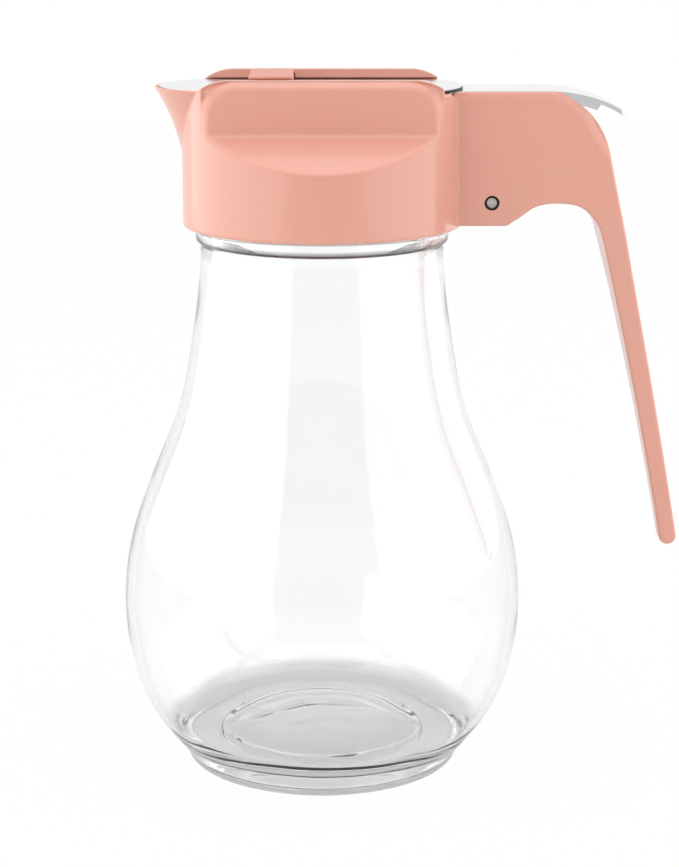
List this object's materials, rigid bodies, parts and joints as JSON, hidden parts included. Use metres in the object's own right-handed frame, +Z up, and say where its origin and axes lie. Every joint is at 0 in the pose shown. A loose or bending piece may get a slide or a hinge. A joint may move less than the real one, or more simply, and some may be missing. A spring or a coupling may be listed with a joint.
{
  "type": "syrup dispenser",
  "caption": "Glass syrup jar with a screw-on pouring head, a spring-return metal slide gate, a thumb lever and a one-piece side handle.",
  "frame": {"origin": "on the jar's axis, in the plane that the jar's foot stands on", "axes": "+Z up along the jar's axis, spout towards -X, handle towards +X, Y across"},
  "size_m": [0.1194, 0.0856, 0.1484],
  "materials": {
    "clear_glass": "polished clear",
    "gasket_rubber": "matt silicone",
    "pink_plastic": "satin moulded",
    "pink_plastic_keeper": "satin moulded",
    "blade_steel": "polished sheet",
    "lever_steel": "polished sheet",
    "rivet_steel": "plain",
    "pin_steel": "cut end",
    "spring_steel": "drawn wire"
  },
  "bodies": {
    "jar": {"glass_jar": "clear_glass"},
    "seal": {"rim_gasket": "gasket_rubber"},
    "head": {"pour_head": "pink_plastic", "blade_keeper": "pink_plastic_keeper", "spring_pin": "pin_steel", "return_spring": "spring_steel"},
    "gate": {"slide_blade": "blade_steel", "thumb_lever": "lever_steel", "blade_rivets": "rivet_steel"}
  },
  "joints": [
    {"name": "head_rise", "type": "slide", "parent": "jar", "child": "seal", "axis": [0, 0, 1], "range_m": [0, 0.0051]},
    {"name": "head_turn", "type": "hinge", "parent": "seal", "child": "head", "pos_m": [0, 0, 0.13], "axis": [0, 0, 1], "range_deg": [0, 450]},
    {"name": "slide_open", "type": "slide", "parent": "head", "child": "gate", "axis": [1, 0, 0], "range_m": [0, 0.014], "stiffness_N_per_m": 150, "springref_m": -0.01, "deforming": ["return_spring"]}
  ],
  "couplings": [
    {"joint": "head_rise", "follows": "head_turn", "m_per_rad": 0.00063662}
  ]
}
